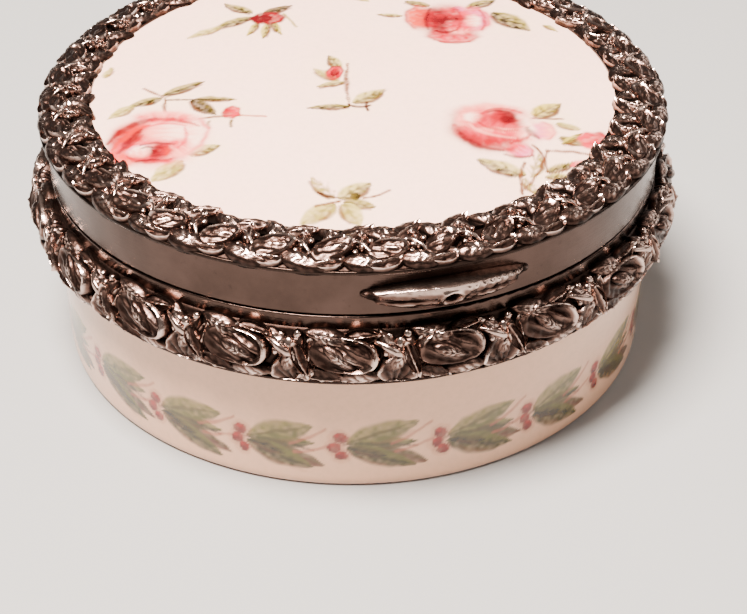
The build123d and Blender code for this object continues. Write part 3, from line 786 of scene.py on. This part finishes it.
def smooth_curve(points, count):
    """A Catmull-Rom curve through a few points."""
    p = np.array(points, float)
    p = np.vstack([2 * p[0] - p[1], p, 2 * p[-1] - p[-2]])
    spans = len(p) - 3
    out = []
    for t in np.linspace(0, spans, count):
        i = min(int(t), spans - 1)
        f = t - i
        a, b, c, d = p[i : i + 4]
        bend = (2 * a - 5 * b + 4 * c - d) * f**2 + (3 * b - a - 3 * c + d) * f**3
        out.append(0.5 * (2 * b + (c - a) * f + bend))
    return out


def jitter(amount):
    """A random number from -amount to amount. No number is drawn for 0."""
    return float(rng.uniform(-amount, amount)) if amount else 0.0


LOWER_REPEATS = 20
LOWER_POINTS = 22  # points of the band's section
LOWER_HEM = 0.62  # mm of the band that stays bare, over the wire
LID_REPEATS = 36
LID_POINTS = 24
LID_BARE = 2.1  # mm of the band that dips under the plaque's edge, with no shapes on it

# A garland's shapes are sown over its band one repeat at a time. u is where the repeat starts and gap its
# middle, in mm round the band, and the next number is how far up the band the shape stands.


def lower_garland():
    """The base's garland: long cupped lobes over a row of leaves, with berries and cords between."""
    lower, upper = EDGING_TOP, RIM_BOTTOM
    knots = [(WALL_R + 0.8, lower), (WALL_R + 1.2, lower + 1.4), (WALL_R + 1.0, lower + 3.4),
             (WALL_R, upper)]
    relief = Relief(smooth_curve(knots, LOWER_POINTS), WALL_R + 1.2)
    sow = relief.sow
    pitch = 2 * math.pi * relief.ref_radius / LOWER_REPEATS
    top = relief.width
    for i in range(LOWER_REPEATS):
        u = i * pitch + jitter(0.35)
        gap = u + pitch / 2
        sow(blade(4.3, 4.4, 0.35, 0.1), dart(1.1), gap, 1.8, 90, (0.3, 0, 14, 0.08), 44, 11)
        sow(blade(4.8, 2.3, 0.2, 0.12), laurel(1.15, 0.75), u - 1.9, 1.05, 164, (0, 0, 10, 0.1), 36, 9)
        sow(blade(4.6, 2.1, 0.2), mound(1.05, 0.8), u + 1.5, 0.95, 14, (0, 0, 12, 0.1), 32, 8)
        sow(blade(4.6, 1.9), mound(1.0, 0.7), u - 1.6, top - 0.75, 170, (0, 0, 8, 0), 30, 7)
        sow(blade(4.2, 1.8), laurel(1.0, 0.6), u + 1.7, top - 0.7, 2, (0, 0, 10, 0), 30, 7)
        sow(blade(3.4, 1.7), mound(0.95, 0.6), gap - 0.9, top - 1.4, 126, (0, 0, 14, 0), 28, 7, lift=0.1)
        sow(blade(3.8, 1.4), laurel(1.0, 0.6), gap + 1.2, 2.9, -58, (0, 0, 14, 0), 28, 7, lift=0.45)
        sow(blade(4.0, 1.9, 0.1), mound(0.9, 0.6), gap + 0.3, 3.3, 64, (0, 0, 10, 0), 28, 7, lift=0.1)
        sow(blade(4.0, 1.7, 0.1), laurel(0.85, 0.6), gap + 1.9, 3.1, 82, (0, 0, 8, 0), 28, 7)
        lean = 0.6 + jitter(0.9)
        sow(oval(6.9, 3.4, 0.88), lobe(1.28, lean), u, 3.3, -8, (0, 0.15, 8, 0.05), 64, 16, lift=0.18)
        sow(blade(3.6, 1.1), mound(0.75, 0.5), u, 3.2, -28, (0.5, 0, 14, 0), 26, 6, lift=0.62)
        relief.cord((u + 2.4, top - 0.9), (gap - 0.3, 3.7), (gap + 1.1, 3.0), 0.3, 1.0)
        for dx, v, radius in ((0.1, 4.3, 0.62), (-0.8, 4.9, 0.45), (0.8, 5.0, 0.48), (-1.1, 3.5, 0.42),
                              (3.5, 0.5, 0.42), (-2.6, 0.5, 0.38)):
            bead(relief, gap + dx + jitter(0.12), v + jitter(0.1), radius, 0.3)
    back = [(WALL_R - 0.5, upper), (WALL_R - 0.5, lower)]
    piece = relief.piece("base_garland_cast", top, back, hem=LOWER_HEM)
    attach(piece, "base")
    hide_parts("base_garland")
    return piece


def lid_garland():
    """The lid's garland: a wreath of small overlapping leaves and berries, over the plaque's edge."""
    knots = [(FLANGE_R - 0.3, FLANGE_TOP), (FLANGE_R - 1.3, FLANGE_TOP + 0.45),
             (SETTING_R + 0.8, FLANGE_TOP + 0.66), (SETTING_R - 0.4, FLANGE_TOP + 0.8),
             (SETTING_R - 2.2, SETTING_TOP - 0.25)]
    relief = Relief(smooth_curve(knots, LID_POINTS), (FLANGE_R + SETTING_R) / 2 - 0.3)
    sow = relief.sow
    inner = relief.width - LID_BARE
    pitch = 2 * math.pi * relief.ref_radius / LID_REPEATS
    for i in range(LID_REPEATS):
        u = i * pitch + jitter(0.3)
        gap = u + pitch / 2
        sow(blade(4.4, 2.2, 0.2, 0.1), laurel(0.85, 0.6), gap - 0.4, inner + 0.7, 24,
            (0, 0.12, 16, 0.12), 32, 8, root=0.3)
        sow(blade(3.8, 1.9), mound(0.8, 0.6), u - 0.2, inner + 0.75, 150,
            (0, 0.15, 20, 0.12), 28, 7, root=0.3)
        sow(blade(4.4, 1.9), mound(0.8, 0.65), gap + 0.4, 0.65, -9, (0, 0, 9, 0.1), 30, 7)
        sow(blade(3.6, 1.6), laurel(0.8, 0.55), u - 0.3, 0.6, 188, (0, 0, 10, 0.1), 28, 7)
        lean = 0.5 + jitter(0.9)
        sow(oval(4.4, 2.3, 0.9), lobe(1.1, lean), u + 0.1, 2.0, 20, (0, 0.2, 14, 0.1), 40, 11, lift=0.08)
        sow(blade(2.9, 1.8, 0.15, 0.1), laurel(0.8, 0.5), gap + 0.1, 3.0, 82,
            (0.15, 0, 18, 0.1), 28, 7, root=0.3, lift=0.05)
        sow(blade(2.4, 1.3), mound(0.7, 0.5), u - 0.2, 3.35, 100, (0.2, 0, 24, 0), 22, 6, root=0.3)
        relief.cord((u + 1.0, inner + 0.2), (gap + 0.4, 2.3), (gap + 1.2, 0.9), 0.2, 0.75)
        for dx, v, radius in ((0.0, 2.2, 0.44), (-0.6, 2.9, 0.36), (0.85, 2.9, 0.34), (-0.5, 1.5, 0.3)):
            bead(relief, gap + dx + jitter(0.15), v + jitter(0.12), radius, 0.4)
    piece = relief.piece("lid_garland_cast", inner, [(SETTING_R, FLANGE_TOP)], cap=LID_CREST)
    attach(piece, "lid")
    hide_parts("lid_garland")
    return piece


def thumb_lift():
    """The thumbpiece: a cast shelf of two leaf wings that meet at a dimpled boss."""
    low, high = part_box("thumbpiece")
    half_l = (high[0] - low[0]) / 2 / MM
    bottom, top = low[2] / MM, high[2] / MM
    out = -low[1] / MM - WALL_R
    half_w = (top - bottom) / 2
    relief = Relief([(WALL_R, bottom - 1), (WALL_R, (bottom + top) / 2), (WALL_R, top + 1)], WALL_R)

    def edge(angle):
        c, s = np.cos(angle), np.sin(angle)
        x = half_l * np.sign(c) * np.abs(c) ** 0.62
        y = half_w * (1 - 0.45 * (x / half_l) ** 2) * np.sign(s) * np.abs(s) ** 0.8
        return x, y + 0.3 * (x / half_l) ** 2

    def form(rho, angle, x, y):
        t = y / half_w
        wide = np.abs(x) / half_l
        swell = (out - 0.15) * (1 - 0.62 * wide**1.8)
        shelf = 0.42 + 0.58 * smooth(-1.0, 0.45, t)
        slit = bell(wide - 0.5, 0.24) * bell(t + 0.05, 0.12)
        lip = bell(wide - 0.45, 0.3) * bell(t + 0.45, 0.16)
        boss = np.hypot(x, y + 0.15)
        dimple = smooth(0.72, 0.3, boss)
        collar = bell(boss - 0.98, 0.2)
        tip = smooth(0.72, 0.3, np.hypot(np.abs(x) - half_l * 0.87, y - 0.15))
        beads = ripple(x * 2 * np.pi / 0.72) * bell(t - 0.62, 0.2) * smooth(0.9, 2.2, x)
        veins = np.cos((x - y) * 5.5) * smooth(1.2, 2.4, x) * smooth(0.7, 0.2, np.abs(t))
        h = swell * shelf * (1 - 0.9 * smooth(0.9, 1.0, rho) ** 2)
        h = h - 0.34 * slit + 0.12 * lip - 0.95 * dimple + 0.16 * collar
        h = h - 0.45 * tip + 0.24 * beads + 0.06 * veins
        # The polish value is painted highlight on the upper side, and painted shade on the under side, in
        # the slit, in the boss's dimple and in the dimples at the tips.
        shine_and_shade = 0.5 + 0.3 * smooth(0.25, 0.6, t) - 0.5 * slit - 1.2 * dimple - 1.0 * tip
        shine_and_shade = shine_and_shade + 0.3 * lip + 0.25 * collar + 0.2 * beads - 0.25 * smooth(-0.5, -1.0, t)
        return np.maximum(h, 0.05), np.clip(shine_and_shade, 0, 1)

    relief.stamp(edge, form, 0, 1 + half_w, 0.0, 1.0, 220, 30, root=0.25)
    verts = relief.place(np.vstack(relief.verts))
    piece = make_piece("thumbpiece_cast", verts, relief.faces, {"polish_and_shading": relief.polish_and_shading[0]}, THUMB_EDGE)
    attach(piece, "lid")
    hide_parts("thumbpiece")
    return piece


# ---- porcelain

BOWL_COLUMNS = 1008
WALL_TAPER = 0.3  # mm that the bowl's wall leans out by, up to its shoulder
BOWL_INNER_R = BOWL_R - 3.1
BOWL_REBATE_R = BOWL_R - 1.4
BOWL_FLOOR = 3.0
FOOT_RECESS = 0.8
FOOT_RING_R = BOWL_R - 3.8
HUB_R = 2  # where the flat middles of the turned sections start, in mm
PAINTED_Z = np.arange(1.0, 9.2, 0.17)  # heights of the wall's rows, close enough together to paint
PLAIN_Z = np.linspace(9.6, SHOULDER_Z, 6)


def turned_solid(section, columns):
    """A solid turned from an open section that starts and ends near the axis, with phi 0 at the front."""
    rows = len(section)
    ends = [[0, 0, section[0][1]], [0, 0, section[-1][1]]]
    low = rows * columns
    high = low + 1
    faces = lathe_faces(rows, columns)[: (rows - 1) * columns]
    for i in range(columns):
        n = (i + 1) % columns
        faces.append((low, n, i))
        faces.append((high, low - columns + i, low - columns + n))
    return np.vstack([lathe(section, columns), ends]), faces


def bowl():
    """The painted porcelain bowl: a turned wall on a foot ring, rebated for the collar."""
    foot_r = BOWL_R - WALL_TAPER
    painted = [(foot_r + WALL_TAPER * z / SHOULDER_Z, z) for z in PAINTED_Z]
    plain = [(foot_r + WALL_TAPER * z / SHOULDER_Z, z) for z in PLAIN_Z]
    foot = [(HUB_R, FOOT_RECESS), (FOOT_RING_R - 0.8, FOOT_RECESS), (FOOT_RING_R, 0)]
    foot += round_corner((FOOT_RING_R, 0), (foot_r, 0), (foot_r, 2), 0.75, 6)
    rim = [(BOWL_REBATE_R, SHOULDER_Z), (BOWL_REBATE_R, BOWL_TOP)]
    rim += round_corner((BOWL_REBATE_R, BOWL_TOP), (BOWL_INNER_R, BOWL_TOP), (BOWL_INNER_R, 5), 0.4, 4)
    inside = [(BOWL_INNER_R - 0.1, 14)]
    inside += round_corner((BOWL_INNER_R, 9), (BOWL_INNER_R - 0.4, BOWL_FLOOR), (0, BOWL_FLOOR), 3.0, 8)
    inside += [(12, BOWL_FLOOR), (HUB_R, BOWL_FLOOR)]
    section = foot + painted + plain + rim + inside
    verts, faces = turned_solid(section, BOWL_COLUMNS)
    phi = np.arctan2(verts[:, 0], -verts[:, 1])
    colour = paint_bowl(np.column_stack([phi * BOWL_R, verts[:, 2]]), 2 * math.pi * BOWL_R / BOWL_REPEATS)
    colour[np.hypot(verts[:, 0], verts[:, 1]) < foot_r - 0.1] = WHITE
    piece = make_piece("painted_bowl", verts, faces, {"paint": colour}, CHINA_EDGE)
    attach(piece, "base")
    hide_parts("base_bowl")
    return piece


PLAQUE_COUNT = 291  # points along each side of the plaque's grid
PLAQUE_EDGE = PLAQUE_TOP - 0.8


def disc_grid(count, radius):
    """Points of a square grid carried on to a disc, with every quad about the same size."""
    side = np.linspace(-1, 1, count)
    gx, gy = np.meshgrid(side, side)
    wide = np.abs(gx) > np.abs(gy)
    big = np.where(wide, gx, gy)
    small = np.where(wide, gy, gx)
    phi = np.pi / 4 * small / np.where(big == 0, 1, big)
    x = np.where(wide, big * np.cos(phi), big * np.sin(phi))
    y = np.where(wide, big * np.sin(phi), big * np.cos(phi))
    return np.column_stack([x.ravel() * radius, y.ravel() * radius])


def plaque():
    """The painted porcelain plaque of the lid: a low dome with a square edge."""
    n = PLAQUE_COUNT
    flat = disc_grid(n, PLAQUE_R)
    dome = PLAQUE_EDGE + (PLAQUE_TOP - PLAQUE_EDGE) * (1 - (np.hypot(*flat.T) / PLAQUE_R) ** 2)
    top = np.column_stack([flat, dome])
    starts = [j * n + i for j in range(n - 1) for i in range(n - 1)]
    faces = [(k, k + 1, k + n + 1, k + n) for k in starts]
    south = list(range(n - 1))
    east = [j * n + n - 1 for j in range(n - 1)]
    north = [(n - 1) * n + i for i in range(n - 1, 0, -1)]
    west = [j * n for j in range(n - 1, 0, -1)]
    brim = south + east + north + west
    below = top[brim].copy()
    below[:, 2] = PLAQUE_BOTTOM
    verts = np.vstack([top, below, [[0, 0, PLAQUE_BOTTOM]]])
    for i in range(len(brim)):
        k = (i + 1) % len(brim)
        faces.append((brim[i], n * n + i, n * n + k, brim[k]))
        faces.append((len(verts) - 1, n * n + k, n * n + i))
    colour = np.tile(WHITE, (len(verts), 1))
    colour[: n * n] = paint_plaque(flat @ turn_by(VIEW_TURN))
    piece = make_piece("painted_plaque", verts, faces, {"paint": colour}, CHINA_EDGE)
    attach(piece, "lid")
    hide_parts("lid_plaque")
    return piece


# ---- materials


def grey(value):
    return (value, value, value)


class Surface:
    """A new material with a Principled shader, and nodes that feed it."""

    def __init__(self, name):
        self.material = bpy.data.materials.new(name)
        self.material.use_nodes = True
        self.tree = self.material.node_tree

    def fill(self, node, **inputs):
        """Links or sets a node's inputs. A socket's name is given in lower case, with underscores."""
        for name, value in inputs.items():
            socket = node.inputs[name.replace("_", " ").title()]
            if isinstance(value, bpy.types.NodeSocket):
                self.tree.links.new(value, socket)
            else:
                socket.default_value = value
        return node

    def new(self, kind, **inputs):
        return self.fill(self.tree.nodes.new("ShaderNode" + kind), **inputs)

    def finish(self, **inputs):
        """The material, once the shader's own inputs are filled."""
        self.fill(self.tree.nodes["Principled BSDF"], **inputs)
        return self.material

    def noise(self, scale, detail=3.0, rough=0.5, stretch=(1, 1, 1)):
        """Noise in the object's own space, with scale features in a metre."""
        place = self.new("Mapping", vector=self.new("TexCoord").outputs["Object"], scale=stretch)
        vector = place.outputs["Vector"]
        node = self.new("TexNoise", vector=vector, scale=scale, detail=detail, roughness=rough)
        return node.outputs["Fac"]

    def ramp(self, source, stops):
        """A colour ramp on source. stops is a list of (position, colour)."""
        node = self.new("ValToRGB", fac=source)
        elements = node.color_ramp.elements
        while len(elements) < len(stops):
            elements.new(0.5)
        for element, (position, colour) in zip(elements, stops):
            element.position = position
            element.color = (*colour, 1)
        return node.outputs["Color"]

    def multiply(self, a, b, factor):
        """Colour a, darkened by colour b as far as factor says."""
        node = self.new("Mix")
        node.data_type = "RGBA"
        node.blend_type = "MULTIPLY"
        return self.fill(node, a=a, b=b, factor=factor).outputs["Result"]

    def attribute(self, name, output):
        """What make_piece stored on the mesh under name."""
        node = self.new("Attribute")
        node.attribute_name = name
        return node.outputs[output]

    def bump(self, height, strength, depth_mm):
        node = self.new("Bump", strength=strength, distance=depth_mm * MM, height=height)
        return node.outputs["Normal"]


def worn_silver(name, bright, dark, roughness):
    """Smooth metal in a tone from the bright and dark colours given, with faint scratches round the box
    and duller patches.
    """
    skin = Surface(name)
    patches = skin.ramp(skin.noise(150, 5, 0.65), [(0.32, dark), (0.68, bright)])
    spots = skin.ramp(skin.noise(900, 3, 0.7), [(0.27, grey(0.6)), (0.38, grey(1.0))])
    wear = [(0.3, grey(roughness * 0.75)), (0.75, grey(roughness * 1.35))]
    return skin.finish(
        base_color=skin.multiply(patches, spots, 0.7),
        roughness=skin.ramp(skin.noise(420, 5, 0.65), wear),
        metallic=1.0,
        normal=skin.bump(skin.noise(260, 4, 0.7, (1, 1, 14)), 0.35, 0.05),
    )


def cast_silver(name):
    """Cast metal from the polish value: black recesses are patina and painted shade, bright tops rubbed
    wear and painted highlight.
    """
    skin = Surface(name)
    tone = [(0.0, (0.016, 0.010, 0.008)), (0.32, (0.066, 0.039, 0.032)), (0.64, (0.19, 0.117, 0.095)),
            (0.95, (0.82, 0.62, 0.54))]
    polish_and_shade_tone = skin.ramp(skin.attribute("polish_and_shading", "Fac"), tone)
    patches = skin.ramp(skin.noise(700, 4, 0.7), [(0.28, (0.42, 0.33, 0.30)), (0.6, grey(1.0))])
    wear = [(0.0, grey(0.5)), (0.5, grey(0.26)), (1.0, grey(0.15))]
    return skin.finish(
        base_color=skin.multiply(polish_and_shade_tone, patches, 0.85),
        roughness=skin.ramp(skin.attribute("polish_and_shading", "Fac"), wear),
        metallic=1.0,
        normal=skin.bump(skin.noise(1600, 4, 0.6), 0.45, 0.12),
    )


def china(name):
    """Glazed porcelain, coloured by the piece's own paint attribute, with a faintly uneven glaze."""
    skin = Surface(name)
    tint = skin.ramp(skin.noise(70, 3), [(0.35, (0.975, 0.96, 0.94)), (0.7, grey(1.0))])
    wash = skin.ramp(skin.noise(1500, 3, 0.6), [(0.25, grey(0.93)), (0.6, grey(1.0))])
    paint = skin.multiply(skin.attribute("paint", "Color"), tint, 1.0)
    return skin.finish(
        base_color=skin.multiply(paint, wash, 1.0),
        roughness=skin.ramp(skin.noise(260, 3), [(0.3, grey(0.12)), (0.8, grey(0.2))]),
        coat_weight=0.4,
        coat_roughness=0.06,
        subsurface_weight=0.12,
        subsurface_radius=(0.002, 0.0015, 0.001),
        normal=skin.bump(skin.noise(160, 2), 0.12, 0.05),
    )


def plaster(name):
    """Grey-white bedding that fills the gaps between porcelain and metal."""
    skin = Surface(name)
    tones = [(0.3, (0.44, 0.41, 0.36)), (0.7, (0.66, 0.63, 0.57))]
    return skin.finish(
        base_color=skin.ramp(skin.noise(900, 5, 0.7), tones),
        roughness=0.85,
        normal=skin.bump(skin.noise(1500, 5, 0.7), 0.6, 0.15),
    )


# The bands' silver is darker than its age tone alone: the extra darkness is a painted reflection of dark
# surroundings.
SMOOTH_SILVER = worn_silver("worn_smooth_silver", (0.086, 0.055, 0.046), (0.052, 0.033, 0.027), 0.2)
# The darkest silver is tarnish together with painted shadow: it darkens the flange, the edging and the
# setting, which sit under the garlands' overhang.
TARNISH_AND_SHADOW_SILVER = worn_silver("tarnish_and_shadow_silver", (0.040, 0.025, 0.020), (0.020, 0.013, 0.011), 0.3)
INNER_SILVER = worn_silver("inner_gilt_silver", (0.78, 0.66, 0.48), (0.56, 0.45, 0.31), 0.3)
CAST_SILVER = cast_silver("worn_cast_silver")
CHINA = china("painted_china")
BEDDING = plaster("bedding_plaster")

NODE_MATERIALS = {
    SMOOTH_SILVER: ("lid_band", "base_rim", "base_hinge_leaf", "lid_hinge_leaf", "hinge_pin"),
    TARNISH_AND_SHADOW_SILVER: ("lid_flange", "base_edging", "plaque_setting"),
    INNER_SILVER: ("base_bezel", "base_collar"),
    BEDDING: ("collar_cement", "plaque_bedding"),
}
for material, names in NODE_MATERIALS.items():
    for node_name in names:
        for material_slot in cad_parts[node_name].material_slots:
            material_slot.material = material
for piece in (bowl(), plaque()):
    piece.data.materials.append(CHINA)
for piece in (lower_garland(), lid_garland(), thumb_lift()):
    piece.data.materials.append(CAST_SILVER)

# ---- stage, lights and camera

FLOOR_HALF = 3.0
PAPER_GREY = (0.33, 0.335, 0.335, 1)

floor_mesh = bpy.data.meshes.new("floor")
corners = [(x * FLOOR_HALF, y * FLOOR_HALF, 0) for x, y in ((-1, -1), (1, -1), (1, 1), (-1, 1))]
floor_mesh.from_pydata(corners, [], [(0, 1, 2, 3)])
floor = add_object("floor", floor_mesh)
floor.data.materials.append(Surface("pale_paper").finish(base_color=PAPER_GREY, roughness=0.7))

LAMP_AIM = Vector((0, 0, 0.02))
WARM = (1.0, 0.90, 0.82)
WARMER = (1.0, 0.88, 0.79)


def area_light(name, place, size, power, colour):
    """A square lamp at place that faces the middle of the box."""
    data = bpy.data.lights.new(name, "AREA")
    data.shape = "RECTANGLE"
    data.size = size
    data.size_y = size
    data.energy = power
    data.color = colour
    lamp = add_object(name, data)
    lamp.location = place
    lamp.rotation_euler = (LAMP_AIM - Vector(place)).to_track_quat("-Z", "Y").to_euler()


area_light("key", (-0.13, -0.06, 0.52), 0.2, 20.5, WARMER)
area_light("fill", (0.45, -0.35, 0.4), 0.4, 1.1, WARM)
area_light("side", (0.5, 0.25, 0.25), 0.3, 0.8, WARM)

world = bpy.data.worlds.new("studio")
world.use_nodes = True
background = world.node_tree.nodes["Background"]
background.inputs["Color"].default_value = (0.82, 0.77, 0.74, 1)
background.inputs["Strength"].default_value = 0.21
bpy.context.scene.world = world

# The camera stands to the left of the thumbpiece, by VIEW_TURN, and looks down on the lid. Its distance,
# aim and lens come from fitting the box's round edges.
LOOK_DOWN = math.radians(35.37)
CAMERA_DISTANCE = 0.16598
AIM = (0.00214, -0.03722, FLANGE_TOP * MM - 0.0002)  # before the turn to the left
LENS_IN_WIDTHS = 1900 / 747  # focal length in widths of the image
SENSOR_WIDTH = 36

camera_data = bpy.data.cameras.new("camera")
camera_data.sensor_fit = "HORIZONTAL"
camera_data.sensor_width = SENSOR_WIDTH
camera_data.lens = SENSOR_WIDTH * LENS_IN_WIDTHS
camera = add_object("camera", camera_data)
eye = np.array([AIM[0], AIM[1] - CAMERA_DISTANCE * math.cos(LOOK_DOWN)]) @ turn_by(-VIEW_TURN)
camera.location = (*eye, AIM[2] + CAMERA_DISTANCE * math.sin(LOOK_DOWN))
aim = Vector((*(np.array(AIM[:2]) @ turn_by(-VIEW_TURN)), AIM[2]))
camera.rotation_euler = (aim - camera.location).to_track_quat("-Z", "Y").to_euler()
camera_data.clip_start = 0.01
bpy.context.scene.camera = camera
